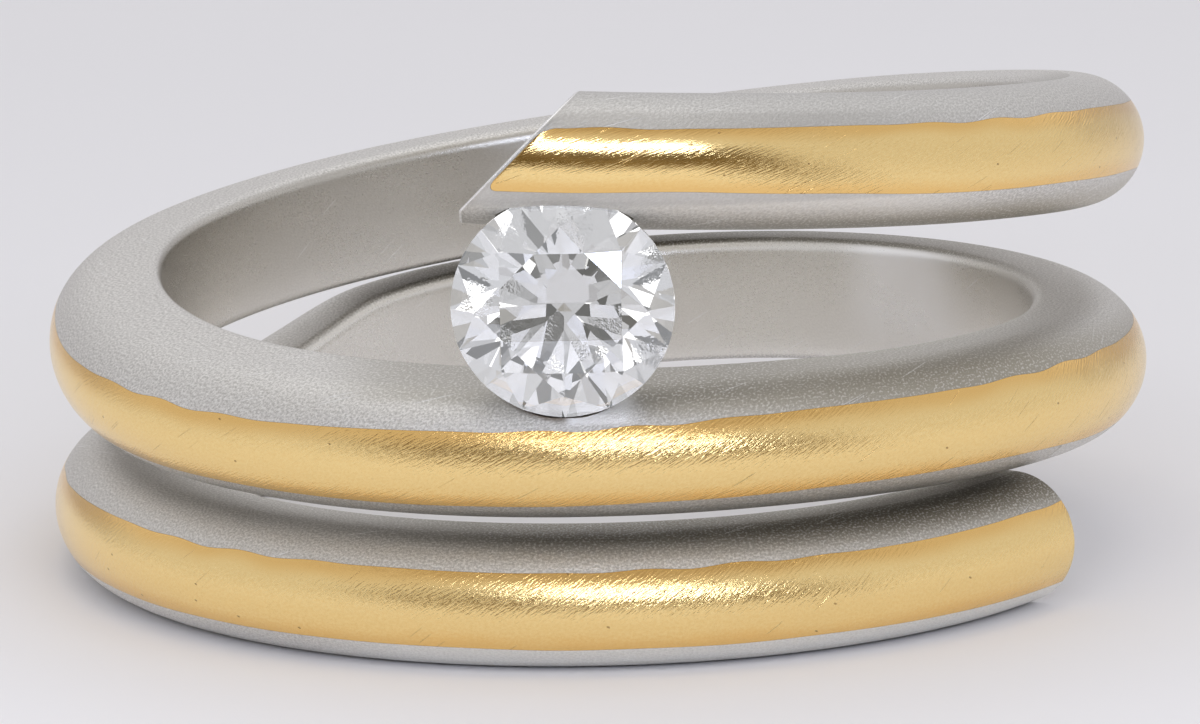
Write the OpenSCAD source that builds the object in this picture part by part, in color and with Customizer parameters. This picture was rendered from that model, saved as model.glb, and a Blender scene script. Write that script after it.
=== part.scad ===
// Spiral ring lying on its side. One wire, half round on its outer face, is wound in two turns and a bit.
// A strip of gold is let into the outer face, and a brilliant is held between the two upper turns.
// Sizes are in millimetres. The finger hole runs up Z, and the lowest turn rests at Z = 0.
// Angles round the ring start at the right-hand side, +X, and grow clockwise seen from above,
// so that 90 is at the front, -Y. The wire climbs as its angle grows.

/* [Ring] */
// Diameter over the outside of the turns
ring_d = 22; // [21.5:0.1:22.2]
// Diameter of the finger hole
finger_d = 17.4; // [17:0.1:17.8]

/* [Wire] */
// Height of the wire
wire_h = 2.6; // [2.5:0.02:2.62]
// Rounding of the two edges at the finger
edge_r = 0.3; // [0.1:0.05:0.5]
// Angle where the wire starts, square across
start_angle = 33; // [25:1:50]
// Angle of the middle of the slanted upper end
end_angle = 817; // [815:1:825]
// Slant of the upper end, away from upright
end_slant = 43.5; // [20:0.5:50]
// Lean of the slanted end's face, its outer side lower
end_lean = 12; // [0:1:15]
// Bevel round the two ends
bevel = 0.05; // [0.03:0.01:0.06]

/* [Gold strip] */
// Thickness of the strip
gold_t = 0.4; // [0.3:0.05:0.6]
// Rim of wire left between the strip and the slanted end
gold_rim = 0.1; // [0.1:0.05:0.6]
// Clearance between the strip and its groove
gold_gap = 0.02; // [0.01:0.01:0.05]

/* [Stone] */
// Diameter of the brilliant at its girdle
stone_d = 4.25; // [4:0.05:4.3]
// Angle round the ring where the stone sits
stone_angle = 93.5; // [92:0.5:96]
// Distance of the girdle from the ring's axis
stone_out = 10.6; // [10.6:0.05:10.7]
// Height of the stone's centre
stone_z = 7.18; // [7.1:0.01:7.2]
// Clearance between the stone and the notches cut for it
seat_gap = 0.03; // [0.02:0.01:0.05]
// Table's width across its flats, as a share of the diameter
table_share = 0.54; // [0.5:0.01:0.6]
// Angle of the crown's main facets
crown_angle = 34.5; // [32:0.5:36]
// Angle of the pavilion's main facets
pavilion_angle = 40.75; // [40:0.25:42]
// Thickness of the girdle, as a share of the diameter
girdle_share = 0.03; // [0.02:0.01:0.05]

/* [Hidden] */

// The wire's path. Columns: angle round the ring, rise of the wire above its resting height,
// tilt of its outer face upward, and half width of the gold strip as an angle in the section.
ANGLE = 0;
RISE = 1;
TILT = 2;
GOLD = 3;
path_rows = [
    [33, 0, 0, 38],
    [120, 0, 0, 35],
    [218, 0, 0, 34],
    [228, 0.5, 0, 34],
    [240, 1.2, 0, 35],
    [258, 1.6, 0, 35],
    [270, 1.8, -1, 35],
    [300, 2.12, -3, 36],
    [345, 2.42, -4, 38],
    [375, 2.58, -2, 40],
    [405, 2.82, 0, 37],
    [435, 2.93, -4, 37],
    [465, 2.92, -10, 36],
    [495, 2.95, -12, 34],
    [520, 3.1, -14, 36],
    [545, 3.45, -9, 37],
    [585, 3.88, -6, 36],
    [630, 4.62, -2, 34],
    [675, 5.75, 2, 33],
    [720, 6.9, 7, 31],
    [760, 7.8, 8, 32],
    [800, 8.42, 11, 28],
    [835, 8.7, 8, 30]
];
last_row = len(path_rows) - 1;

wire_r = wire_h / 2;
centre_r = ring_d / 2 - wire_r;
finger_r = finger_d / 2;
inner_u = centre_r - finger_r;

// How far the wire's blank reaches into the finger hole before the hole is bored
bore_allowance = 0.12;
// How far the bore starts below the ring
bore_run = 1;
// How far the rounding of an edge turns before the bore meets it
edge_sweep = 60;
// Half angle of the stretch at the back of the ring that the bore leaves clear, and how far the
// wire's flat stands out from the bore there
relief_half = 10;
relief = 0.02;
// Angles of the wire at the back of the ring and at its front on the last turn
back_angles = [270, 630];
front_angle = 810;
// Angle between two rings of points along the wire
ring_step = 4.5;
// Length of the step that ends the gold's groove
groove_step = 0.03;
// Lean of the groove's walls, as an angle in the section
groove_lean = 3;
// Radius of the strip's corners at the slanted end
gold_corner = 0.25;
mm_per_degree = PI * ring_d / 360;
mm_per_section_degree = PI * wire_h / 360;
end_shift = ring_d / 2 * sin(end_angle - front_angle);

function slope(col, i) =
    (path_rows[i + 1][col] - path_rows[i][col]) / (path_rows[i + 1][ANGLE] - path_rows[i][ANGLE]);

// Slope at a row. It is level at a peak or a hollow, so that the curve never swings past its rows.
function row_slope(col, i) =
    i == 0 ? 0
    : i == last_row ? slope(col, i - 1)
    : slope(col, i - 1) * slope(col, i) <= 0 ? 0
    : 2 * slope(col, i - 1) * slope(col, i) / (slope(col, i - 1) + slope(col, i));

function row_of(a, i = 0) = i == last_row - 1 || a < path_rows[i + 1][ANGLE] ? i : row_of(a, i + 1);

// Value of one column at any angle, on a smooth curve through the rows
function along(col, a) =
    let (i = row_of(a))
    let (width = path_rows[i + 1][ANGLE] - path_rows[i][ANGLE])
    let (t = (a - path_rows[i][ANGLE]) / width)
    path_rows[i][col] * (1 + 2 * t) * (1 - t) ^ 2
    + path_rows[i + 1][col] * (3 - 2 * t) * t ^ 2
    + row_slope(col, i) * width * t * (1 - t) ^ 2
    - row_slope(col, i + 1) * width * t ^ 2 * (1 - t);

function arc(r, from, to, steps) =
    [for (i = [0 : steps]) let (a = from + (to - from) * i / steps) r * [cos(a), sin(a)]];

function shifted(points, by) = [for (p = points) p + by];

// Section of the wire as [outward, up] from its centre line, with the groove for the gold.
// Its flat towards the finger reaches past the bore, or stands just clear of it where relieved.
function band_section(gold, depth, inset, relieved) =
    let (r = wire_r - inset)
    let (flat_x = relieved ? relief - inner_u : -inner_u - bore_allowance)
    concat(
        arc(r, 90, gold, 3),
        arc(r - depth, gold - groove_lean, groove_lean - gold, 3),
        arc(r, -gold, -90, 3),
        shifted(arc(edge_r, -90, -90 - edge_sweep, 2), [edge_r - inner_u, edge_r - r]),
        [[flat_x, edge_r - r], [flat_x, r - edge_r]],
        shifted(arc(edge_r, 90 + edge_sweep, 90, 2), [edge_r - inner_u, r - edge_r])
    );

// Section of the gold strip, which fills the groove up to the wire's round face
function gold_section(gold) =
    let (side = gold - gold_gap / mm_per_section_degree)
    concat(
        arc(wire_r, side, -side, 4),
        arc(wire_r - gold_t + gold_gap, groove_lean - side, side - groove_lean, 3)
    );

// The section point turned with the wire. Points at the finger keep their distance from the axis.
function tilted(p, tilt) =
    p.x > 0 ? [p.x * cos(tilt) - p.y * sin(tilt), p.x * sin(tilt) + p.y * cos(tilt)]
    : [p.x, p.x * sin(tilt) + p.y];

// Angle where a section point meets the slanted cut, a flat plane with a blunt tip
function cut_angle(p) =
    let (q = tilted(p, along(TILT, end_angle)))
    let (height = max(-wire_r, q.y - (q.x + inner_u) * tan(end_lean)))
    front_angle + asin((end_shift - height * tan(end_slant)) / (centre_r + q.x));

// A section point carried the given share of the way along the wire
function placed(p, share) =
    let (a = start_angle + share * (cut_angle(p) - start_angle))
    let (q = tilted(p, along(TILT, a)))
    let (r = centre_r + q.x)
    [r * cos(a), -r * sin(a), wire_r + along(RISE, a) + q.y];

wire_turn = end_angle - start_angle;
function share_of(mm) = mm / mm_per_degree / wire_turn;

// Half width of the groove or the strip at a share of the way, rounded in at its own slanted end
function gold_width(share, end) =
    let (d = min(1, max(0, (end - share) / share_of(gold_corner))))
    along(GOLD, start_angle + share * wire_turn)
    - gold_corner * (1 - sqrt(1 - (1 - d) ^ 2)) / mm_per_section_degree;

// A closed skin over sections of the same number of points
module skin(rings) {
    n = len(rings[0]);
    m = len(rings);
    walls = [
        for (i = [0 : m - 2])
            for (j = [0 : n - 1])
                let (k = (j + 1) % n)
                each [
                    [i * n + j, (i + 1) * n + k, (i + 1) * n + j],
                    [i * n + j, i * n + k, (i + 1) * n + k]
                ]
    ];
    near_end = [[for (j = [n - 1 : -1 : 0]) j]];
    far_end = [[for (j = [0 : n - 1]) (m - 1) * n + j]];
    polyhedron([for (ring = rings) each ring], concat(walls, near_end, far_end));
}

groove_end = 1 - share_of(gold_rim);
strip_end = groove_end - share_of(gold_gap);

// The groove and the strip share evenly spaced rings up to their corners at the slanted end,
// and each has its own rings there, at these shares of the corner's radius from its end
corner_steps = [1, 0.6, 0.3, 0.1, 0];
even_steps = floor(wire_turn / ring_step);
last_even = strip_end - share_of(gold_corner + wire_r / 2);
even_shares = [for (i = [1 : even_steps]) if (i / even_steps < last_even) i / even_steps];
function corner_shares(end) = [for (d = corner_steps) end - share_of(gold_corner * d)];

function relieved(share) =
    let (a = start_angle + share * wire_turn)
    min([for (back = back_angles) abs(a - back)]) < relief_half;

// Rings along the wire: share of the way, depth of the groove and inset of the bevel
band_rings = concat(
    [[0, gold_t, bevel], [share_of(bevel), gold_t, 0]],
    [for (s = even_shares) [s, gold_t, 0]],
    [for (s = corner_shares(groove_end)) [s, gold_t, 0]],
    [[groove_end + share_of(groove_step), 0, 0]],
    [[1 - share_of(bevel), 0, 0], [1, 0, bevel]]
);

module stone_place() {
    rotate([0, 0, -stone_angle])
        translate([stone_out, 0, stone_z])
            rotate([0, 90, 0])
                rotate([0, 0, half_facet])
                    children();
}

// Half the angle between two of the stone's eight main facets
half_facet = 360 / 16;
// Where the halves of the pavilion end towards its tip, as a share of the stone's radius
ridge_share = 0.23;
stone_r = stone_d / 2;
girdle_h = stone_d * girdle_share;
table_r = stone_r * table_share / cos(half_facet);
crown_h = (stone_r - table_r) * tan(crown_angle);
pavilion_h = stone_r * tan(pavilion_angle);

// Space that the stone needs, turned round its axis
module seat() {
    rotate_extrude()
        polygon([
            [0, -girdle_h / 2 - pavilion_h],
            [stone_r + seat_gap, -girdle_h / 2 - seat_gap],
            [stone_r + seat_gap, girdle_h / 2 + seat_gap],
            [table_r, girdle_h / 2 + crown_h + seat_gap],
            [0, girdle_h / 2 + crown_h + seat_gap]
        ]);
}

module finger_hole() {
    translate([0, 0, -bore_run])
        cylinder(r = finger_r, h = ring_d);
}

module spiral_band() {
    color([0.71, 0.70, 0.68])
        difference() {
            skin([
                for (ring = band_rings)
                    let (gold = gold_width(ring[0], groove_end))
                    let (section = band_section(gold, ring[1], ring[2], relieved(ring[0])))
                    [for (p = section) placed(p, ring[0])]
            ]);
            finger_hole($fn = 128);
            stone_place()
                seat($fn = 64);
        }
}

module gold_inlay() {
    color([0.91, 0.73, 0.36])
        skin([
            for (share = concat([share_of(bevel)], even_shares, corner_shares(strip_end)))
                let (gold = gold_width(share, strip_end))
                [for (p = gold_section(gold)) placed(p, share)]
        ]);
}

function ring_points(r, z, count, turn) =
    [for (i = [0 : count - 1]) [r * cos(turn + i * 360 / count), r * sin(turn + i * 360 / count), z]];

module stone() {
    star_r = (table_r * cos(half_facet) + stone_r) / 2;
    star_z = girdle_h / 2 + crown_h * (stone_r - star_r * cos(half_facet)) / (stone_r - table_r);
    lower_r = stone_r * ridge_share;
    lower_z = -girdle_h / 2 - pavilion_h * (1 - lower_r * cos(half_facet) / stone_r);
    points = concat(
        ring_points(table_r, girdle_h / 2 + crown_h, 8, 0),
        ring_points(star_r, star_z, 8, half_facet),
        ring_points(stone_r, girdle_h / 2, 16, 0),
        ring_points(stone_r, -girdle_h / 2, 16, 0),
        ring_points(lower_r, lower_z, 8, half_facet),
        [[0, 0, -girdle_h / 2 - pavilion_h]]
    );
    star = 8;
    upper = 16;
    lower = 32;
    ridge = 48;
    culet = 56;
    facets = concat(
        [[for (i = [7 : -1 : 0]) i]],
        [for (i = [0 : 7]) let (j = (i + 1) % 8) [i, j, star + i]],
        [for (i = [0 : 7]) let (h = (i + 7) % 8) [i, star + i, upper + 2 * i, star + h]],
        [for (i = [0 : 7]) [star + i, upper + 2 * i + 1, upper + 2 * i]],
        [for (i = [0 : 7]) [star + i, upper + (2 * i + 2) % 16, upper + 2 * i + 1]],
        [for (i = [0 : 15]) let (j = (i + 1) % 16) [upper + i, upper + j, lower + j, lower + i]],
        [for (i = [0 : 7]) [lower + 2 * i, lower + 2 * i + 1, ridge + i]],
        [for (i = [0 : 7]) [lower + 2 * i + 1, lower + (2 * i + 2) % 16, ridge + i]],
        [for (i = [0 : 7]) let (h = (i + 7) % 8) [lower + 2 * i, ridge + i, culet, ridge + h]]
    );
    color([0.93, 0.96, 1])
        stone_place()
            polyhedron(points, facets);
}

spiral_band();
gold_inlay();
stone();
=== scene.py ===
import math

import bpy
import numpy as np
from mathutils import Matrix, Vector


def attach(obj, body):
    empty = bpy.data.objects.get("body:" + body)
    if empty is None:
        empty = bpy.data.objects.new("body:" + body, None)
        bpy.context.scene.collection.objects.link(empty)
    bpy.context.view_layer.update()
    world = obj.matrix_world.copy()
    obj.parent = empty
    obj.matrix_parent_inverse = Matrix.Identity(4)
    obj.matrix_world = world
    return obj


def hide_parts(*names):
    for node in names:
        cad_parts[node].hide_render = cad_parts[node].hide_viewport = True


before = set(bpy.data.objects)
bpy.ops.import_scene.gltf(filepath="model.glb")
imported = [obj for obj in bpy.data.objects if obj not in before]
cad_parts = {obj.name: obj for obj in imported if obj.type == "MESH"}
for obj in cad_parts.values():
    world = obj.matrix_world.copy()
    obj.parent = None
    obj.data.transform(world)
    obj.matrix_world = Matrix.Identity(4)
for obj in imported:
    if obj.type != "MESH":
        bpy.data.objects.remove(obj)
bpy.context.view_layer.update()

# Lengths are in millimetres and angles in degrees. MM turns a length into metres when an object is made.
MM = 0.001

# The wire, the gold let into it, and its square start and slanted end.
RING_D = 22.0
FINGER_R = 8.7
WIRE_R = 1.3
EDGE_R = 0.3
EDGE_BEVEL = 0.05
CAP_INSET = WIRE_R * 0.15
GOLD_T = 0.4
GOLD_RIM = 0.1
GOLD_CORNER = 0.25
GOLD_JOINT = 0.004
GROOVE_LEAN = 3.0
START_ANGLE = 33.0
END_ANGLE = 817.0
END_SLANT = 43.5
END_LEAN = 12.0
FRONT_ANGLE = 810.0
END_TURN = END_ANGLE / 360
CENTRE_R = RING_D / 2 - WIRE_R
INNER_U = CENTRE_R - FINGER_R
MM_PER_DEGREE = math.pi * RING_D / 360
MM_PER_SECTION_DEGREE = math.pi * WIRE_R / 180

# How fine the meshes are, and where their shading breaks.
STATION_STEP = 1.0
ROUND_STEPS = 12
GROOVE_STEPS = 14
STRIP_STEPS = 18
CORNER_POINTS = 10
EDGE_POINTS = 7
FLAT_POINTS = 8
SEAT_SIDES = 96
SHARP_ANGLE = 32.0
QUARTER = np.linspace(0, math.pi / 2, 5)
BEVEL_ALONG = 1 - np.cos(QUARTER)
BEVEL_IN = 1 - np.sin(QUARTER)

# How near the next turn counts as, for the painted shade and painted light in the grey metal's tones.
OPEN_GAP = 5.0
UNDER_EASE = 0.7
NOTHING_UNDER = 9.0
FLOOR_GAIN = 20
PAST_END_SPAN = 12.0

# The stone and its seat. Shares are of its diameter or radius, and HALF_FACET is in radians.
STONE_D = 4.25
STONE_ANGLE = 93.5
STONE_OUT = 10.6
STONE_Z = 7.18
SEAT_GAP = 0.03
TABLE_SHARE = 0.54
LOW_SHARE = 0.23
GIRDLE_SHARE = 0.03
CROWN_ANGLE = 34.5
PAVILION_ANGLE = 40.75
HALF_FACET = math.radians(22.5)
STONE_R = STONE_D / 2
GIRDLE_H = STONE_D * GIRDLE_SHARE
TABLE_R = STONE_R * TABLE_SHARE / math.cos(HALF_FACET)
CROWN_H = (STONE_R - TABLE_R) * math.tan(math.radians(CROWN_ANGLE))
PAVILION_H = STONE_R * math.tan(math.radians(PAVILION_ANGLE))
STONE_AXIS = (math.cos(math.radians(STONE_ANGLE)), -math.sin(math.radians(STONE_ANGLE)), 0)
STONE_MIDDLE = (STONE_OUT * STONE_AXIS[0], STONE_OUT * STONE_AXIS[1], STONE_Z)

# Where dust lies on the stone: across and up from its middle.
DUSTY_SPOTS = ((-1.05, 1.7), (-1.7, 0.35), (1.8, 0.75), (0.3, 1.65), (1.7, -0.9))

# The wire's path. Columns: angle round the ring, rise, tilt of the outer face, half width of the gold.
PATH = np.array([
    (33, 0, 0, 38), (120, 0, 0, 35), (218, 0, 0, 34), (228, 0.5, 0, 34), (240, 1.2, 0, 35),
    (258, 1.6, 0, 35), (270, 1.8, -1, 35), (300, 2.12, -3, 36), (345, 2.42, -4, 38),
    (375, 2.58, -2, 40), (405, 2.82, 0, 37), (435, 2.93, -4, 37), (465, 2.92, -10, 36),
    (495, 2.95, -12, 34), (520, 3.1, -14, 36), (545, 3.45, -9, 37),
    (585, 3.88, -6, 36), (630, 4.62, -2, 34), (675, 5.75, 2, 33), (720, 6.9, 7, 31),
    (760, 7.8, 8, 32), (800, 8.42, 11, 28), (835, 8.7, 8, 30),
], float)
RISE, TILT, GOLD_HALF = 1, 2, 3


def along(column, angle):
    """One column of the path at any angle: the cubic through each pair of rows, with the harmonic mean of the
    slopes on both sides of a row as its slope there, and none at a peak."""
    x = PATH[:, 0]
    y = PATH[:, column]
    width = np.diff(x)
    rate = np.diff(y) / width
    before, after = rate[:-1], rate[1:]
    same_way = before * after > 0
    total = np.where(same_way, before + after, 1)
    slope = np.concatenate([[0], np.where(same_way, 2 * before * after / total, 0), rate[-1:]])
    i = np.clip(np.searchsorted(x, angle, side="right") - 1, 0, len(width) - 1)
    t = (angle - x[i]) / width[i]
    level = y[i] * (1 + 2 * t) * (1 - t) ** 2 + y[i + 1] * (3 - 2 * t) * t ** 2
    return level + width[i] * (slope[i] * t * (1 - t) ** 2 - slope[i + 1] * t ** 2 * (1 - t))


def share_of(length):
    """The share of the wire's whole way that a length along it takes."""
    return length / MM_PER_DEGREE / (END_ANGLE - START_ANGLE)


GROOVE_END = 1 - share_of(GOLD_RIM)
STRIP_END = GROOVE_END - share_of(GOLD_JOINT)


def polar(r, degrees):
    """Points at radius r and the given angles, as [..., 2]."""
    a = np.radians(degrees)
    return np.stack([r * np.cos(a), r * np.sin(a)], -1)


def ramp(start, stop, steps):
    """Evenly spaced values from start to stop, one of each for every station, along a new last axis."""
    share = np.linspace(0, 1, steps + 1)
    return start[..., None] * (1 - share) + stop[..., None] * share


# Camera, worked out from the ring's outline in the photo.
VIEW_RISE = 12.0
VIEW_ROLL = -1.36
VIEW_DISTANCE = 180.0
VIEW_AIM = (0.03, 0.0, 3.845)
VIEW_LENS = 268.5


def put_camera():
    """The camera stands back from its aim along a line that rises VIEW_RISE above the floor."""
    rise = math.radians(VIEW_RISE)
    roll = math.radians(VIEW_ROLL)
    back = Vector((0, -math.cos(rise), math.sin(rise)))
    level = Vector((1, 0, 0))
    upright = back.cross(level)
    right = level * math.cos(roll) + upright * math.sin(roll)
    up = upright * math.cos(roll) - level * math.sin(roll)
    data = bpy.data.cameras.new("view")
    data.lens = VIEW_LENS
    data.sensor_width = 36
    data.sensor_fit = "HORIZONTAL"
    data.clip_start = 0.005
    data.clip_end = 20
    camera = bpy.data.objects.new("view", data)
    bpy.context.scene.collection.objects.link(camera)
    turn = Matrix((right, up, back)).transposed().to_4x4()
    place = (Vector(VIEW_AIM) + back * VIEW_DISTANCE) * MM
    camera.matrix_world = Matrix.Translation(place) @ turn
    bpy.context.scene.camera = camera


class Shade:
    """A shader socket that plain arithmetic works on. Each operation adds its own Math node."""

    def __init__(self, bench, socket):
        self.bench = bench
        self.socket = socket

    def math(self, operation, first, second):
        """One Math node on two sockets or numbers."""
        return self.bench.node("ShaderNodeMath", {"operation": operation}, {0: first, 1: second})

    def __add__(self, other):
        return self.math("ADD", self, other)

    def __radd__(self, other):
        return self.math("ADD", other, self)

    def __sub__(self, other):
        return self.math("SUBTRACT", self, other)

    def __rsub__(self, other):
        return self.math("SUBTRACT", other, self)

    def __mul__(self, other):
        return self.math("MULTIPLY", self, other)

    def __rmul__(self, other):
        return self.math("MULTIPLY", other, self)

    def __truediv__(self, other):
        return self.math("DIVIDE", self, other)

    def __rtruediv__(self, other):
        return self.math("DIVIDE", other, self)

    def between(self, low, high):
        """0 below low, 1 above high, and smooth between them. With low above high it falls instead."""
        settings = {"interpolation_type": "SMOOTHSTEP"}
        values = {"Value": self, "From Min": low, "From Max": high}
        return self.bench.node("ShaderNodeMapRange", settings, values)

    def hump(self, foot, full, fade, end):
        """1 from full to fade, 0 before foot and after end, and smooth between them."""
        return self.between(foot, full) * self.between(end, fade)


class Bench:
    """A material, or the studio's surroundings, being laid out. Every node of it comes from node()."""

    def __init__(self, owner):
        self.owner = owner
        owner.use_nodes = True
        self.tree = owner.node_tree
        self.tree.nodes.clear()

    def node(self, kind, settings=None, inputs=None, output=0):
        """Adds a node of this type, sets it up, and gives its sockets their values or links."""
        made = self.tree.nodes.new(kind)
        for key, value in (settings or {}).items():
            setattr(made, key, value)
        for key, value in (inputs or {}).items():
            if isinstance(value, Shade):
                self.tree.links.new(value.socket, made.inputs[key])
            else:
                made.inputs[key].default_value = value
        return Shade(self, made.outputs[output]) if len(made.outputs) else None

    def pick(self, shade, output):
        """Another output of the node that made this one."""
        return Shade(self, shade.socket.node.outputs[output])

    def split(self, vector):
        """The three numbers of a place or direction."""
        x = self.node("ShaderNodeSeparateXYZ", {}, {"Vector": vector})
        return x, self.pick(x, 1), self.pick(x, 2)

    def vector(self, operation, first, second):
        """Arithmetic on places and directions that gives another one."""
        return self.node("ShaderNodeVectorMath", {"operation": operation}, {0: first, 1: second})

    def length(self, vector):
        """How long a vector is, as a number."""
        return self.node("ShaderNodeVectorMath", {"operation": "LENGTH"}, {0: vector}, "Value")

    def solid_place(self):
        """The place in the ring's own frame, in millimetres."""
        metres = self.node("ShaderNodeTexCoord", output="Object")
        return self.vector("MULTIPLY", metres, (1 / MM, 1 / MM, 1 / MM))

    def noise(self, place, scale, detail=2.0, rough=0.5):
        """Soft random values from 0 to 1, with this many spots for each unit of the place."""
        values = {"Vector": place, "Scale": scale, "Detail": detail, "Roughness": rough}
        return self.node("ShaderNodeTexNoise", {"noise_dimensions": "3D"}, values)

    def stretched(self, place, turn, size, shift=(0, 0, 0)):
        """The place turned in the surface by an angle in degrees, then scaled, which draws a pattern out."""
        spin = self.node("ShaderNodeMapping", {"vector_type": "POINT"},
                         {"Vector": place, "Rotation": (0, 0, math.radians(turn)), "Location": shift})
        return self.node("ShaderNodeMapping", {"vector_type": "POINT"}, {"Vector": spin, "Scale": size})

    def scattered(self, place, width, rarity):
        """Round marks in the middles of scattered cells, kept in the share of cells above the rarity. On a
        place that is drawn out they become straight scratches."""
        cell = self.node("ShaderNodeTexVoronoi", {"voronoi_dimensions": "2D"}, {"Vector": place, "Scale": 1})
        lot = self.node("ShaderNodeSeparateColor", {}, {"Color": self.pick(cell, 1)})
        return cell.between(width, width * 0.5) * lot.between(rarity, rarity + 0.02)

    def bump(self, height, strength, distance):
        """A relief on the surface, its depth in millimetres."""
        values = {"Strength": strength, "Distance": distance * MM, "Height": height}
        return self.node("ShaderNodeBump", {}, values)

    def blend(self, factor, first, second):
        """The first colour where the factor is 0 and the second where it is 1."""
        return self.node("ShaderNodeMix", {"data_type": "RGBA"}, {0: factor, 6: first, 7: second}, 2)

    def shine(self, settings):
        """Ends the material in one Principled BSDF with these socket values or links."""
        surface = self.node("ShaderNodeBsdfPrincipled", {}, settings)
        self.node("ShaderNodeOutputMaterial", {}, {"Surface": surface})
        return self.owner


def wire_place(bench):
    """Millimetres along the wire and round its section, from the piece's own map."""
    return bench.node("ShaderNodeUVMap", {"uv_map": "wire_map"})


def wire_care(bench):
    """Two values from the piece's second map. The first is the gap to the next turn on the band, and the
    share of the way up the strip on the gold. The second counts turns along the wire."""
    care, turn, _ = bench.split(bench.node("ShaderNodeUVMap", {"uv_map": "wire_care"}))
    return care, turn


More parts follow.
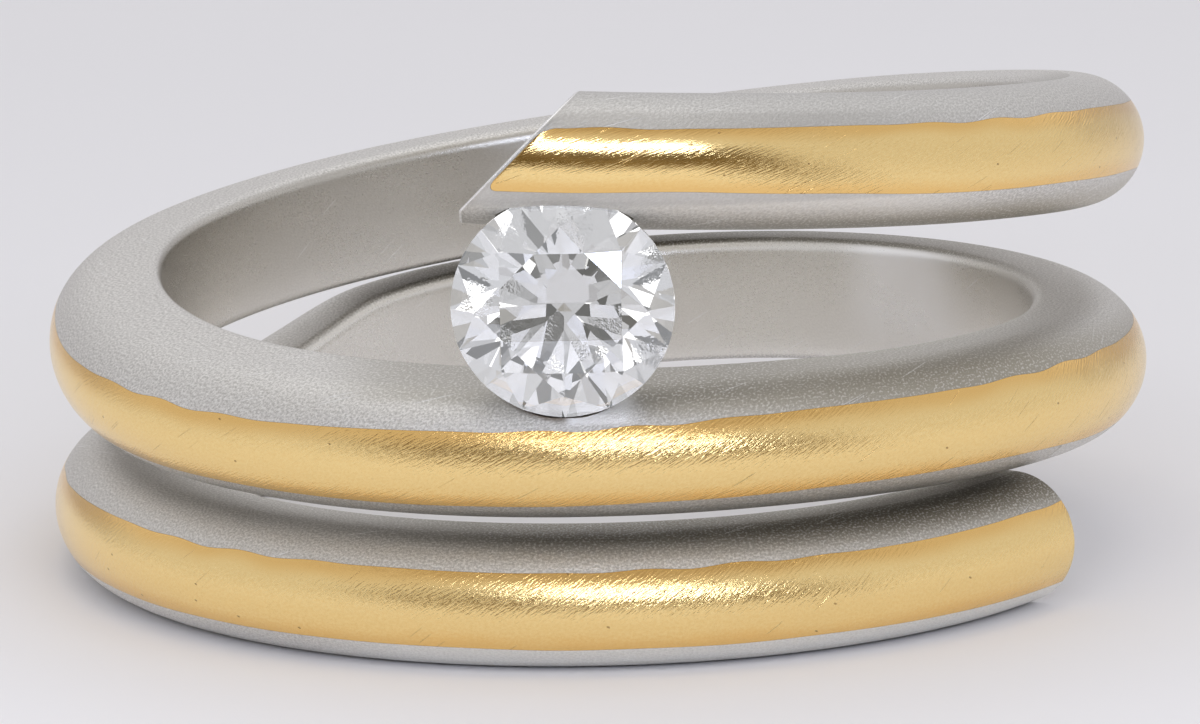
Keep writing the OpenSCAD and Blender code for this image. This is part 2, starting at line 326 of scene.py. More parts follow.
def platinum():
    """Grey metal, sand matted, with fine slanted scratches, and grain with painted glints in its dark places.
    Painted shade makes it browner and darker towards the next turn and round the stone. It is smoother on the
    finger's side, painted lighter under its foot as a painted reflection of the floor, and polished on the
    face and bevel of its slanted end, which a painted highlight lightens."""
    bench = Bench(bpy.data.materials.new("platinum"))
    place = wire_place(bench)
    _, lower, _ = bench.split(place)
    gap, turn = wire_care(bench)
    solid = bench.solid_place()
    sideways, _, level = bench.split(solid)
    radius = bench.length(bench.vector("MULTIPLY", solid, (1, 1, 0)))
    inside = radius.between(8.82, 8.74)
    outer = radius.between(9.4, 9.9)
    right = sideways.between(-5.0, 9.0)
    last_turn = turn.between(1.95, 2.05)
    bevel = turn.between(END_TURN - 0.0009, END_TURN - 0.0006)

    # The relief: sand grain, two directions of brushing, a few scratches, and a slow wave.
    grain = bench.noise(place, 19, detail=3, rough=0.8)
    slant = bench.noise(bench.stretched(place, -42, (1.6, 24, 1)), 1, detail=3, rough=0.65)
    cross = bench.noise(bench.stretched(place, 20, (0.9, 22, 1), (7, 3, 0)), 1, detail=3, rough=0.65)
    patch = bench.noise(place, 0.35, detail=2).between(0.45, 0.65)
    waves = bench.noise(place, 0.5, detail=2)
    scratch = bench.scattered(bench.stretched(place, -25, (0.6, 18, 1)), 0.3, 0.965)
    matt = 1 - inside * 0.7
    speck = bench.noise(place, 19, detail=1).between(0.54, 0.65) * matt
    height = (grain * 0.9 + slant * 0.35 + cross * (patch * 0.3) - scratch * 0.5) * matt + waves * 0.6
    tone = bench.blend(grain.between(0.34, 0.66), (0.52, 0.50, 0.465, 1), (0.87, 0.85, 0.81, 1))

    # Painted shade towards the next turn, stronger on the right: a wide brown one, and a dark one where the
    # gap shuts.
    edge = 0.5 + sideways.between(11.2, 8.0) * 0.5
    wide = gap.between(2.2, 3.0) * (0.3 + right * 0.5)
    close = gap.between(2.2, 1.4) * right * 0.12
    # far is painted shade: browner and darker towards the next turn.
    far = gap.between(4.6, 3.4) * (wide * edge + close + 0.12) * (1 - inside)
    tone = bench.blend(far, tone, (0.42, 0.385, 0.31, 1))
    reach = sideways.between(-6.5, -0.5) * 0.68 + sideways.between(-0.5, 9.0) * 0.33 - 0.6
    open_side = lower.between(2.9, 3.3) * sideways.between(1.0, 4.0)
    gap_shade = (gap + grain * 0.3 - reach).between(1.3, 0.25) * (0.85 - inside * 0.6 - open_side * 0.35)
    tone = bench.blend(gap_shade, tone, (0.21, 0.19, 0.14, 1))

    # Painted shade round the stone, measured from its axis.
    to_stone = bench.vector("SUBTRACT", solid, STONE_MIDDLE)
    away = bench.length(bench.vector("CROSS_PRODUCT", to_stone, STONE_AXIS))
    stone_shade = away.between(5.4, 3.2) * level.hump(5.15, 5.35, 5.7, 5.9)
    tone = bench.blend(stone_shade * 0.65, tone, (0.40, 0.375, 0.32, 1))

    # The finger's side: painted light, lighter towards the floor; painted shade, dimmer at the left; and one
    # painted highlight at the right.
    painted_inner_light = bench.blend(level.between(6.8, 2.8), (0.58, 0.55, 0.49, 1), (0.95, 0.92, 0.86, 1))
    left_shade = sideways.between(-3.2, -5.5) * level.between(3.8, 5.2)
    painted_inner_light = bench.blend(left_shade * 0.2, painted_inner_light, (0.40, 0.37, 0.31, 1))
    tone = bench.blend(inside * 0.8, tone, painted_inner_light)
    painted_glint = inside * sideways.hump(4.8, 6.0, 6.6, 7.8) * level.hump(2.2, 3.6, 5.0, 6.2)
    tone = bench.blend(painted_glint, tone, (1.0, 0.985, 0.96, 1))

    # The last turn: painted light under the gold, painted shade along its foot and over the gold, and a crest
    # dimmed by painted shade.
    painted_light_under_gold = last_turn * lower.hump(2.9, 3.2, 3.4, 4.1) * sideways.between(8.5, 5.5)
    tone = bench.blend(painted_light_under_gold * 0.65, tone, (0.95, 0.92, 0.86, 1))
    tone = bench.blend(last_turn * lower.between(3.8, 4.3) * 0.45, tone, (0.30, 0.28, 0.23, 1))
    shade_over_gold = last_turn * lower.hump(0.8, 1.0, 1.6, 2.0) * sideways.between(7.5, 3.5)
    tone = bench.blend(shade_over_gold * 0.6, tone, (0.40, 0.38, 0.35, 1))
    crest_shade = turn.between(1.95, 2.2) * gap.between(4.8, 5.0)
    tone = bench.blend(crest_shade * 0.45, tone, (0.50, 0.49, 0.47, 1))

    # Painted light on the foot, standing in for the floor's reflection; painted shade in the stone's seat; a
    # painted highlight under the stone; and painted glints, lighter scratches and a painted highlight on the
    # polished end.
    foot = level.between(0.8, 0.5) * gap.between(0.5, 2.0) * (sideways.between(-6.2, -3.5) * 0.6 + 0.4)
    tone = bench.blend(foot * (0.5 + grain * 0.3), tone, (0.97, 0.97, 0.93, 1))
    # Painted shade in a thin ring where the seat meets the stone.
    seat_shade = away.between(2.26, 2.13) * level.between(6.6, 5.8) * outer
    tone = bench.blend(seat_shade * 0.8, tone, (0.16, 0.11, 0.07, 1))
    # A painted highlight on the metal just under the stone.
    painted_tongue_highlight = sideways.hump(-0.75, -0.5, 0.4, 0.8) * level.hump(4.88, 4.98, 5.4, 5.55)
    tone = bench.blend(painted_tongue_highlight * outer * gap.between(1.0, 2.0) * 0.9, tone, (0.99, 0.98, 0.96, 1))
    # Painted glints in the painted-dark places, and a painted highlight on the polished end; scratches are
    # lighter marks.
    painted_sparkle = speck * (far + gap_shade + stone_shade * 0.5 + 0.15) * 0.4
    tone = bench.blend(bevel + scratch * 0.45 + painted_sparkle, tone, (0.97, 0.96, 0.94, 1))
    rough = 0.36 + grain * 0.12 + patch * 0.04 - inside * 0.14 - bevel * 0.2
    return bench.shine({"Base Color": tone, "Metallic": 1.0, "Roughness": rough,
                        "Normal": bench.bump(height, 0.6, 0.03)})


def yellow_gold():
    """Rich yellow gold with a fine satin, short slanted scratches, a few longer ones and pits, and a slow
    wave. Both borders of the strip are redder, and the upper turn's end is polished by wear."""
    bench = Bench(bpy.data.materials.new("yellow_gold"))
    place = wire_place(bench)
    share, turn = wire_care(bench)
    grain = bench.noise(place, 14, detail=3, rough=0.8)
    slant = bench.noise(bench.stretched(place, -42, (4.2, 19, 1)), 1, detail=2, rough=0.5)
    waves = bench.noise(bench.stretched(place, 0, (0.35, 0.9, 1)), 1, detail=2)
    scratch = bench.scattered(bench.stretched(place, -48, (1.1, 20, 1), (3, 8, 0)), 0.3, 0.97)
    pit = bench.scattered(bench.stretched(place, 30, (0.8, 1.5, 1), (5, 2, 0)), 0.035, 0.8)
    worn = turn.between(2.175, 2.222)
    satin = (grain * 0.3 + slant * 0.75) * (1 - worn * 0.7)
    height = satin + waves * 0.6 + worn * (share * 10) - scratch * 0.35 - pit * 0.8
    tone = bench.blend(grain.between(0.3, 0.7), (0.94, 0.67, 0.28, 1), (1.0, 0.76, 0.35, 1))
    ragged = share + (waves - 0.5) * 0.25 + (grain - 0.5) * 0.15
    tone = bench.blend(ragged.between(0.72, 0.98) * 0.7, tone, (0.84, 0.50, 0.15, 1))
    tone = bench.blend(ragged.between(0.26, 0.02) * 0.6, tone, (0.90, 0.54, 0.17, 1))
    tone = bench.blend(pit * 0.8 + scratch * 0.25, tone, (0.35, 0.20, 0.07, 1))
    rough = 0.13 - worn * 0.02 + grain * 0.06
    return bench.shine({"Base Color": tone, "Metallic": 1.0, "Roughness": rough,
                        "Normal": bench.bump(height, 0.55, 0.03)})


def diamond():
    """Clear cool-white stone, polished flat facet by facet, with a faint cool glow of painted light. Dust
    sparkles on its upper side in a few places near the rim."""
    bench = Bench(bpy.data.materials.new("diamond"))
    place = bench.solid_place()
    _, depth, _ = bench.split(place)
    dusty = 0.0
    for x, z in DUSTY_SPOTS:
        across = bench.vector("SUBTRACT", place, (x + STONE_MIDDLE[0], 0, z + STONE_Z))
        flat = bench.vector("MULTIPLY", across, (1, 0, 1))
        dusty = bench.length(flat).between(0.52, 0.22) + dusty
    dusty = dusty * depth.between(-10.66, -10.74)
    dust = bench.noise(place, 15, detail=1, rough=0.7)
    # The faint cool emission is painted light: the stone glows a little, though it is no lamp.
    return bench.shine({"Base Color": (0.865, 0.87, 0.87, 1), "Roughness": 0.0, "IOR": 2.417,
                        "Normal": bench.bump((dust - 0.5) * dusty, 0.4, 0.01),
                        "Transmission Weight": 1.0, "Emission Color": (0.92, 0.97, 1.0, 1),
                        "Emission Strength": 0.027})


def add_mesh(name, points, faces, material, uv=None, care=None, smooth=True):
    """A mesh object from points in millimetres and arrays of corner numbers, one array for each face size.
    The map of places has a value for each corner, and the map of care one for each point."""
    mesh = bpy.data.meshes.new(name)
    corners = np.concatenate([part.ravel() for part in faces])
    sizes = np.concatenate([np.full(len(part), part.shape[1]) for part in faces])
    mesh.vertices.add(len(points))
    mesh.vertices.foreach_set("co", (points * MM).astype(np.float32).ravel())
    mesh.loops.add(len(corners))
    mesh.loops.foreach_set("vertex_index", corners.astype(np.int32))
    mesh.polygons.add(len(sizes))
    mesh.polygons.foreach_set("loop_start", (np.cumsum(sizes) - sizes).astype(np.int32))
    mesh.polygons.foreach_set("use_smooth", np.full(len(sizes), smooth))
    mesh.update(calc_edges=True)
    if uv is not None:
        layer = mesh.uv_layers.new(name="wire_map")
        layer.data.foreach_set("uv", uv.astype(np.float32).ravel())
    if care is not None:
        layer = mesh.uv_layers.new(name="wire_care")
        layer.data.foreach_set("uv", care[corners].astype(np.float32).ravel())
    mesh.materials.append(material)
    piece = bpy.data.objects.new(name, mesh)
    bpy.context.scene.collection.objects.link(piece)
    return piece


def turned(outer, inner, share, tilt):
    """Section points turned with the wire. The outer half is rotated by the tilt, the inner part keeps its
    distance from the finger and slides up or down, and a flat runs straight between the two."""
    t = np.radians(tilt)
    spun_u = outer[..., 0] * np.cos(t) - outer[..., 1] * np.sin(t)
    spun_v = outer[..., 0] * np.sin(t) + outer[..., 1] * np.cos(t)
    slid_v = inner[..., 1] + inner[..., 0] * np.sin(t)
    u = spun_u * (1 - share) + inner[..., 0] * share
    v = spun_v * (1 - share) + slid_v * share
    return u, v


def carried(section, way):
    """The angle round the ring that each section point comes to, and its place in the section there. A
    point goes its share of the way from the square start to the plane of the slanted end."""
    outer, inner, share = section
    end_u, end_v = turned(outer, inner, share, along(TILT, END_ANGLE))
    end_shift = RING_D / 2 * math.sin(math.radians(END_ANGLE - FRONT_ANGLE))
    end_height = np.maximum(-WIRE_R, end_v - (end_u + INNER_U) * math.tan(math.radians(END_LEAN)))
    reach = (end_shift - end_height * math.tan(math.radians(END_SLANT))) / (CENTRE_R + end_u)
    cut = FRONT_ANGLE + np.degrees(np.arcsin(reach))
    angle = START_ANGLE + way[:, None] * (cut - START_ANGLE)
    u, v = turned(outer, inner, share, along(TILT, angle))
    return angle, u, v


def placed(section, way):
    """Sections carried along the wire: round the ring at each point's own radius, and up by the rise."""
    angle, u, v = carried(section, way)
    r = CENTRE_R + u
    a = np.radians(angle)
    return np.stack([r * np.cos(a), -r * np.sin(a), WIRE_R + along(RISE, angle) + v], -1)


def turns_at(way):
    """Turns of the wire at each station, counted from the right side of the ring."""
    return (START_ANGLE + way * (END_ANGLE - START_ANGLE)) / 360


def turn_gap(section, way):
    """Millimetres from each section point to the next turn above or below it: the two turns' rise apart,
    less the wire's own thickness at that point. It grows to OPEN_GAP past the wire's ends. Under the first
    turn it is the height above the floor, made larger so that only the very foot counts as near."""
    angle, _, v = carried(section, way)
    past = np.clip((angle + 360 - END_ANGLE) / PAST_END_SPAN + 1, 0, 1) * 2 * OPEN_GAP
    above = along(RISE, np.minimum(angle + 360, END_ANGLE)) - along(RISE, angle) + past
    apart = along(RISE, angle) - along(RISE, angle - 360) + UNDER_EASE
    under = np.where(angle - 360 > START_ANGLE, apart, NOTHING_UNDER)
    height = (WIRE_R + along(RISE, angle) + v) * FLOOR_GAIN
    return np.clip(np.where(v > 0, above - 2 * v, np.minimum(under + 2 * v, height)), 0, OPEN_GAP)


def section_of(parts):
    """Joins profile parts, each (outer points, inner points, share of the inner), into one closed profile."""
    count = max(len(part[0]) for part in parts)
    return [np.concatenate([np.broadcast_to(part[n], (count,) + part[n].shape[1:]) for part in parts], 1)
            for n in range(3)]


def round_part(r, degrees):
    """An arc round the section's middle, which turns with the wire."""
    points = polar(r, degrees)
    return points, points * 0, np.zeros(points.shape[:-1])


def inner_part(points):
    """Points of the finger's side, the same at every station."""
    points = points[None]
    return points * 0, points, np.ones(points.shape[:-1])


def flat_part(side, shares):
    """The flat between the round outer face and the inner edge, above with side 1 and below with -1."""
    shares = shares[None]
    outer = np.broadcast_to((0.0, side * WIRE_R), shares.shape + (2,))
    inner = np.broadcast_to((EDGE_R - INNER_U, side * WIRE_R), shares.shape + (2,))
    return outer, inner, shares


def inset_by(section, depth):
    """The section drawn in by a depth, one for each station, towards its own middle."""
    outer, inner, share = section
    size = 1 - depth[:, None, None] / WIRE_R
    return outer * size, inner * size, share


def gold_sides(way, end):
    """Upper and lower border of the gold as angles in the section: the path's width, a hand-filed wobble, and
    the rounded corners at the slanted end."""
    angle = START_ANGLE + way * (END_ANGLE - START_ANGLE)
    mm = angle * MM_PER_DEGREE
    half = along(GOLD_HALF, angle)
    near = np.clip((end - way) / share_of(GOLD_CORNER), 0, 1)
    corner = GOLD_CORNER * (1 - np.sqrt(1 - (1 - near) ** 2)) / MM_PER_SECTION_DEGREE
    upper = 1.5 * np.sin(mm * 3.3 + 0.4) * np.sin(mm * 0.31) ** 3 + 0.7 * np.sin(mm * 0.83 + 2.0)
    lower = 0.5 * np.sin(mm * 1.7 + 1.9) * np.sin(mm * 0.23 + 1) + 0.4 * np.sin(mm * 0.67)
    return half + upper - corner, -half + lower + corner


def stations(end):
    """Shares of the way at which sections stand, up to this end of the gold: close together in the start's
    rounded bevel, then STATION_STEP apart, and close together again in the gold's rounded corner."""
    bevel = share_of(EDGE_BEVEL) * BEVEL_ALONG
    steps = round((END_ANGLE - START_ANGLE) / STATION_STEP)
    even = np.linspace(bevel[-1], end - share_of(GOLD_CORNER), steps)[1:-1]
    corner = end - share_of(GOLD_CORNER) * (1 - np.sin(np.linspace(0, math.pi / 2, CORNER_POINTS)))
    return np.concatenate([bevel, even, corner])


def grid_faces(rows, columns):
    """Quads between each station and the next, all round the profile."""
    i = np.arange(rows - 1)[:, None]
    j = np.arange(columns)[None]
    k = (j + 1) % columns
    quads = np.stack([i * columns + j, (i + 1) * columns + j, (i + 1) * columns + k, i * columns + k], -1)
    return quads.reshape(-1, 4)


def grid_uv(points):
    """For each corner of grid_faces: millimetres along the wire's middle, and round the section."""
    rows, columns = points.shape[:2]
    middle = points.mean(1)
    s = np.concatenate([[0], np.cumsum(np.linalg.norm(np.diff(middle, axis=0), axis=1))])
    ring = points[rows // 2]
    t = np.concatenate([[0], np.cumsum(np.linalg.norm(np.roll(ring, -1, 0) - ring, axis=1))])
    i, j = np.broadcast_arrays(np.arange(rows - 1)[:, None], np.arange(columns)[None])
    u = np.stack([s[i], s[i + 1], s[i + 1], s[i]], -1)
    v = np.stack([t[j], t[j], t[j + 1], t[j + 1]], -1)
    return np.stack([u, v], -1).reshape(-1, 2)


def end_caps(rows, columns):
    """Faces that close both ends of the grid: a band of quads from the end's own ring of points to a
    smaller ring, and a fan from there to a middle point. The caps' points follow the grid's own."""
    j = np.arange(columns)
    k = (j + 1) % columns
    bands = []
    fans = []
    for number, row in enumerate((0, rows - 1)):
        base = row * columns
        ring = rows * columns + number * (columns + 1)
        band = np.stack([base + j, base + k, ring + k, ring + j], -1)
        fan = np.stack([ring + j, ring + k, np.full(columns, ring + columns)], -1)
        bands.append(band[:, ::-1] if row else band)
        fans.append(fan[:, ::-1] if row else fan)
    return np.concatenate(bands), np.concatenate(fans)


def wire_section(way):
    """The wire's profile at each station: the round outer face with the gold's groove in it, which ends
    before the slanted end, then a flat, the finger's side with its small rounded edges, and a flat."""
    depth = np.where(way > GROOVE_END + share_of(GOLD_JOINT) / 2, 0, GOLD_T)
    floor_r = (WIRE_R - depth)[:, None]
    upper, lower = gold_sides(np.minimum(way, GROOVE_END), GROOVE_END)
    quarter = np.full(len(way), 90.0)
    edge = polar(EDGE_R, np.linspace(-90, -180, EDGE_POINTS)) + (EDGE_R - INNER_U, EDGE_R - WIRE_R)
    flat_v = np.linspace(EDGE_R - WIRE_R, WIRE_R - EDGE_R, FLAT_POINTS)[1:-1]
    flat_shares = np.array([0.25, 0.5, 0.75])
    return section_of([
        round_part(WIRE_R, ramp(quarter, upper, ROUND_STEPS)),
        round_part(floor_r, ramp(upper - GROOVE_LEAN, lower + GROOVE_LEAN, GROOVE_STEPS)),
        round_part(WIRE_R, ramp(lower, -quarter, ROUND_STEPS)),
        flat_part(-1, flat_shares),
        inner_part(edge),
        inner_part(np.stack([np.full(len(flat_v), -INNER_U), flat_v], -1)),
        inner_part((edge * (1, -1))[::-1]),
        flat_part(1, flat_shares[::-1]),
    ])


def spiral_band(material, cutter):
    """The wire: its section carried along the path, with rounded bevels and flat caps at both ends, and the
    stone's seat taken out."""
    closing = GROOVE_END + share_of(GOLD_JOINT)
    last = 1 - share_of(EDGE_BEVEL) * BEVEL_ALONG[::-1]
    way = np.concatenate([stations(GROOVE_END), [closing], last])
    inset = np.zeros(len(way))
    inset[:len(last)] = EDGE_BEVEL * BEVEL_IN
    inset[-len(last):] = EDGE_BEVEL * BEVEL_IN[::-1]
    section = wire_section(way)
    points = placed(inset_by(section, inset), way)
    core = placed(inset_by(section, np.full(len(way), CAP_INSET)), way)
    middle = placed(inset_by(section, np.full(len(way), WIRE_R)), way)
    gap = turn_gap(section, way)
    care = np.stack([gap, np.broadcast_to(turns_at(way)[:, None], gap.shape)], -1)
    rows, columns = points.shape[:2]
    shell = [points.reshape(-1, 3)]
    cares = [care.reshape(-1, 2)]
    for row, angle in ((0, START_ANGLE), (-1, END_ANGLE)):
        shell += [core[row], middle[row, :1]]
        cares.append(np.tile((OPEN_GAP, angle / 360), (columns + 1, 1)))
    shell = np.concatenate(shell)
    bands, fans = end_caps(rows, columns)
    quads = np.concatenate([grid_faces(rows, columns), bands])
    end_place = shell[:, [0, 2]]
    uv = np.concatenate([grid_uv(points), end_place[bands.ravel()], end_place[fans.ravel()]])
    band = add_mesh("spiral_band_satin", shell, [quads, fans], material, uv, np.concatenate(cares))
    cut_seat(band, cutter)
    band.data.set_sharp_from_angle(angle=math.radians(SHARP_ANGLE))
    return band


def cut_seat(band, cutter):
    """Takes the seat out of the band, then drops the tool."""
    cut = band.modifiers.new("seat", "BOOLEAN")
    cut.operation = "DIFFERENCE"
    cut.solver = "EXACT"
    cut.object = cutter
    graph = bpy.context.evaluated_depsgraph_get()
    notched = bpy.data.meshes.new_from_object(band.evaluated_get(graph), depsgraph=graph)
    band.modifiers.clear()
    band.data = notched
    bpy.data.objects.remove(cutter)


def gold_inlay(material):
    """The strip: an arc of the wire's own round face above, an arc along the groove's floor below, carried
    along the path, with a flat end at the start and rounded corners at the slanted end."""
    way = stations(STRIP_END)
    inset = np.zeros(len(way))
    inset[:len(BEVEL_IN)] = EDGE_BEVEL * BEVEL_IN
    upper, lower = gold_sides(way, STRIP_END)
    upper = upper - GOLD_JOINT / MM_PER_SECTION_DEGREE
    lower = lower + GOLD_JOINT / MM_PER_SECTION_DEGREE
    section = section_of([
        round_part(WIRE_R, ramp(upper, lower, STRIP_STEPS)),
        round_part(WIRE_R - GOLD_T + GOLD_JOINT, ramp(lower + GROOVE_LEAN, upper - GROOVE_LEAN, STRIP_STEPS)),
    ])
    points = placed(inset_by(section, inset), way)
    rows, columns = points.shape[:2]
    j = np.arange(STRIP_STEPS)
    start_cap = np.stack([j, j + 1, columns - 2 - j, columns - 1 - j], -1)
    caps = np.concatenate([start_cap, (rows - 1) * columns + start_cap[:, ::-1]])
    quads = np.concatenate([grid_faces(rows, columns), caps])
    flat_points = points.reshape(-1, 3)
    uv = np.concatenate([grid_uv(points), flat_points[:, [0, 2]][caps.ravel()]])
    across = np.linspace(1, 0, STRIP_STEPS + 1)
    across = np.concatenate([across, across[::-1]])
    care = np.stack(np.broadcast_arrays(across, turns_at(way)[:, None]), -1)
    strip = add_mesh("gold_strip", flat_points, [quads], material, uv, care.reshape(-1, 2))
    strip.data.set_sharp_from_angle(angle=math.radians(SHARP_ANGLE))
    return strip


def at_seat(points):
    """Points of the upright stone turned so that its table faces outward, and put in its place."""
    a = math.radians(-STONE_ANGLE)
    spin = np.array([[math.cos(HALF_FACET), -math.sin(HALF_FACET), 0],
                     [math.sin(HALF_FACET), math.cos(HALF_FACET), 0], [0, 0, 1]])
    lay = np.array([[0, 0, 1], [0, 1, 0], [-1, 0, 0]], float)
    face = np.array([[math.cos(a), -math.sin(a), 0], [math.sin(a), math.cos(a), 0], [0, 0, 1]])
    return (points @ spin.T @ lay.T + (STONE_OUT, 0, STONE_Z)) @ face.T


def ring_at(r, angles, z):
    """Points round an upright axis, at angles in radians."""
    return np.stack([r * np.cos(angles), r * np.sin(angles), np.broadcast_to(z, angles.shape)], -1)


def seat_tool(material):
    """A double cone round the stone's axis, a clearance larger than the stone: a profile turned in full."""
    profile = ((STONE_R + SEAT_GAP, -GIRDLE_H / 2 - SEAT_GAP), (STONE_R + SEAT_GAP, GIRDLE_H / 2 + SEAT_GAP),
               (TABLE_R, GIRDLE_H / 2 + CROWN_H + SEAT_GAP))
    a = np.linspace(0, 2 * math.pi, SEAT_SIDES, endpoint=False)
    rings = [ring_at(r, a, z) for r, z in profile]
    points = np.concatenate(rings + [[[0, 0, -GIRDLE_H / 2 - PAVILION_H]]])
    j = np.arange(SEAT_SIDES)
    k = (j + 1) % SEAT_SIDES
    walls = [np.stack([base + j, base + k, base + SEAT_SIDES + k, base + SEAT_SIDES + j], -1)
             for base in (0, SEAT_SIDES)]
    cone = np.stack([j, np.full(SEAT_SIDES, len(points) - 1), k], -1)
    top = 2 * SEAT_SIDES + j[None]
    return add_mesh("seat_tool", at_seat(points), [np.concatenate(walls), cone, top], material)


def brilliant(material):
    """Round brilliant: a table, 8 star, 8 kite and 16 upper half facets, a thin girdle, 16 lower half
    facets and 8 mains. Each half facet meets the round girdle in an arc in the facet's own plane."""
    arc = 6
    count = 16 * arc
    half_edge = HALF_FACET / 2
    star_r = (TABLE_R * math.cos(HALF_FACET) + STONE_R) / 2
    star_z = GIRDLE_H / 2 + CROWN_H * (STONE_R - star_r * math.cos(HALF_FACET)) / (STONE_R - TABLE_R)
    low_r = STONE_R * LOW_SHARE
    low_z = -GIRDLE_H / 2 - PAVILION_H * (1 - low_r * math.cos(HALF_FACET) / STONE_R)
    a = np.arange(count) * 2 * math.pi / count
    middle = (np.floor(a / HALF_FACET + 1e-9) + 0.5) * HALF_FACET
    beyond = STONE_R * (np.cos(a - middle) - math.cos(half_edge))

    def fall(tip_r, tip_z):
        """How much a half facet rises for each millimetre inward, at right angles to its girdle edge."""
        return tip_z / ((STONE_R - tip_r) * math.cos(half_edge))

    upper_z = GIRDLE_H / 2 - beyond * fall(star_r, star_z - GIRDLE_H / 2)
    lower_z = -GIRDLE_H / 2 - beyond * fall(low_r, low_z + GIRDLE_H / 2)
    eight = np.arange(8) * 2 * HALF_FACET
    points = np.concatenate([
        ring_at(TABLE_R, eight, GIRDLE_H / 2 + CROWN_H),
        ring_at(star_r, eight + HALF_FACET, star_z),
        ring_at(STONE_R, a, upper_z),
        ring_at(STONE_R, a, lower_z),
        ring_at(low_r, eight + HALF_FACET, low_z),
        [[0, 0, -GIRDLE_H / 2 - PAVILION_H]],
    ])
    table, star, upper, lower = 0, 8, 16, 16 + count
    ridge = lower + count
    culet = ridge + 8
    i = np.arange(8)
    j = (i + 1) % 8
    h = (i + 7) % 8
    stars = np.stack([table + j, table + i, star + i], -1)
    kites = np.stack([table + i, star + h, upper + 2 * arc * i, star + i], -1)
    first = (2 * arc * i[:, None] + np.arange(arc + 1)) % count
    second = (first + arc) % count
    halves = [np.column_stack([star + i, upper + edge]) for edge in (first, second)]
    low_halves = [np.column_stack([ridge + i, lower + edge[:, ::-1]]) for edge in (first, second)]
    n = np.arange(count)
    m = (n + 1) % count
    girdle = np.stack([upper + n, lower + n, lower + m, upper + m], -1)
    mains = np.stack([lower + 2 * arc * i, ridge + h, np.full(8, culet), ridge + i], -1)
    faces = [(table + i)[None], stars, kites, *halves, girdle, *low_halves, mains]
    return add_mesh("brilliant", at_seat(points), faces, material, smooth=False)


def soft_light(name, place, aim, size, watts, color=(1, 1, 1)):
    """A rectangular soft light at a place, turned to an aim."""
    data = bpy.data.lights.new(name, "AREA")
    data.shape = "RECTANGLE"
    data.size = size[0] * MM
    data.size_y = size[1] * MM
    data.energy = watts
    data.color = color
    lamp = bpy.data.objects.new(name, data)
    bpy.context.scene.collection.objects.link(lamp)
    away = Vector(place) - Vector(aim)
    turn = away.to_track_quat("Z", "Y").to_matrix().to_4x4()
    lamp.matrix_world = Matrix.Translation(Vector(place) * MM) @ turn
    return lamp


# The floor runs under the ring and curves up into a short wall far behind it.
FLOOR_HALF = 900.0
BEND_FROM = 400.0
BEND_R = 200.0
BEND_POINTS = 25
WALL_TOP = 260.0

# The dim room: a fan on the floor in front of the ring, and a wall along its far edge.
ROOM_NEAR = 42.0
ROOM_FAR = 300.0
ROOM_FLOOR = 0.2
ROOM_TOP = 100.0
ROOM_HALF_ANGLE = 56.0
ROOM_STATIONS = 29


def sheet_faces(rows, columns):
    """Quads of an open sheet whose points stand row after row."""
    i = np.arange(rows - 1)[:, None] * columns + np.arange(columns - 1)
    return np.stack([i, i + columns, i + columns + 1, i + 1], -1).reshape(-1, 4)


def floor_material():
    """A pale, nearly even floor, faintly clouded."""
    bench = Bench(bpy.data.materials.new("pale_floor"))
    cloud = bench.noise(bench.solid_place(), 0.03, detail=2)
    tone = bench.blend(cloud, (0.83, 0.82, 0.83, 1), (0.86, 0.85, 0.86, 1))
    return bench.shine({"Base Color": tone, "Roughness": 0.6, "Specular IOR Level": 0.2})


def sweep_floor(material):
    """The floor: a profile of a line, a quarter circle and a line, drawn out sideways."""
    bend = polar(BEND_R, np.linspace(-90, 0, BEND_POINTS)) + (BEND_FROM, BEND_R)
    profile = np.concatenate([[(-FLOOR_HALF, 0.0)], bend, [(BEND_FROM + BEND_R, WALL_TOP)]])
    x = np.repeat((-FLOOR_HALF, FLOOR_HALF), len(profile))
    points = np.column_stack([x, np.tile(profile, (2, 1))])
    floor = add_mesh("floor_sweep", points, [sheet_faces(2, len(profile))], material)


def dim_material():
    """Dim warm surfaces of a room with things in it, fading out at both sides and at the top."""
    bench = Bench(bpy.data.materials.new("dim_room"))
    place = bench.solid_place()
    across, depth, height = bench.split(place)
    sideways = across / depth
    upwards = height / depth
    seen = (sideways * sideways).between(1.9, 0.25) * (upwards * upwards).between(0.100, 0.055)
    things = bench.noise(place, 0.03, detail=1).between(0.38, 0.62)
    tone = bench.blend(things, (0.11, 0.078, 0.032, 1), (0.30, 0.23, 0.135, 1))
    return bench.shine({"Base Color": tone, "Roughness": 0.9, "Specular IOR Level": 0.0, "Alpha": seen})


def dim_room(material):
    """What the tent's open front lets in: a fan on the floor in front of the picture, from one radius to
    another, and a wall along the fan's far edge. Only reflections show it."""
    r = np.array([ROOM_NEAR, ROOM_FAR, ROOM_FAR])
    z = np.array([ROOM_FLOOR, ROOM_FLOOR, ROOM_TOP])
    azimuth = np.radians(np.linspace(-ROOM_HALF_ANGLE, ROOM_HALF_ANGLE, ROOM_STATIONS))[:, None]
    x, y = r * np.sin(azimuth), -r * np.cos(azimuth)
    points = np.stack(np.broadcast_arrays(x, y, z), -1).reshape(-1, 3)
    room = add_mesh("dim_room", points, [sheet_faces(ROOM_STATIONS, 3)[:, ::-1]], material)
    room.visible_camera = False
    room.visible_diffuse = False
    room.visible_transmission = False
    room.visible_shadow = False


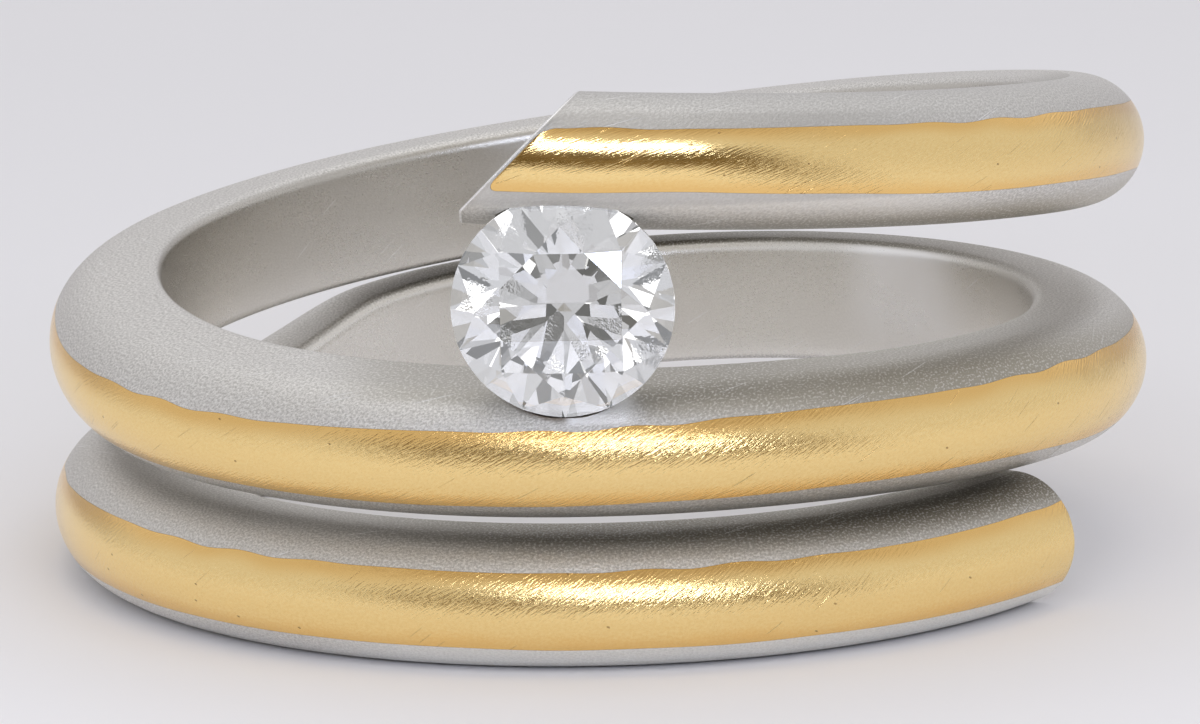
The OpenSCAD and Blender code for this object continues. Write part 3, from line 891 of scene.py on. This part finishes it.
def from_angles(azimuth, height, distance):
    """A place seen from the ring: azimuth from the front towards the right, height above the floor."""
    a = math.radians(azimuth)
    h = math.radians(height)
    out = distance * math.cos(h)
    return (out * math.sin(a), -out * math.cos(a), distance * math.sin(h))


def surroundings():
    """A white tent round the ring: brighter behind and above, dimmer above the camera, and with a dark hole
    where the camera looks in. The numbers are those of the direction's unit vector."""
    bench = Bench(bpy.data.worlds.new("studio"))
    _, depth, height = bench.split(bench.node("ShaderNodeTexCoord", output="Generated"))
    behind = depth.between(0.35, 0.65) * height.between(0.22, 0.42)
    opening = depth.between(-0.85, -0.96) * height.hump(0.0, 0.05, 0.22, 0.30)
    hood = depth.between(0.0, -0.35) * height.hump(0.62, 0.78, 0.93, 1.0)
    tent = bench.blend(behind, (0.70, 0.70, 0.73, 1), (0.92, 0.92, 0.95, 1))
    tent = bench.blend(hood, tent, (0.46, 0.43, 0.39, 1))
    tent = bench.blend(opening, tent, (0.05, 0.05, 0.05, 1))
    glow = bench.node("ShaderNodeBackground", {}, {"Color": tent, "Strength": 1.0})
    bench.node("ShaderNodeOutputWorld", {}, {"Surface": glow})
    return bench.owner


def light_up():
    """Pale surroundings, and three soft lights: a wide key in front and above for the streaks along the
    gold, which isn't seen through the stone, one overhead, and a weak fill in front, seen in no metal."""
    bpy.context.scene.world = surroundings()
    key = soft_light("key", from_angles(azimuth=5.0, height=20.5, distance=230), aim=(0, -11, 4),
                     size=(150, 21), watts=0.10, color=(0.9, 1.0, 1.3))
    key.visible_transmission = False
    soft_light("overhead", (0, -20, 300), aim=(0, 0, 4), size=(200, 110), watts=0.12)
    fill = soft_light("fill", (0, -62, 60), aim=(0, -40, 0), size=(70, 25), watts=0.01)
    fill.visible_glossy = False


put_camera()
satin = platinum()
ring = (
    (spiral_band(satin, seat_tool(satin)), "spiral_band", "band_metal"),
    (gold_inlay(yellow_gold()), "gold_inlay", "gold"),
    (brilliant(diamond()), "stone", "diamond"),
)
for piece, node, slot in ring:
    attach(piece, "root")
    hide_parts(node)
sweep_floor(floor_material())
dim_room(dim_material())
light_up()
bpy.context.scene.view_settings.view_transform = "Standard"
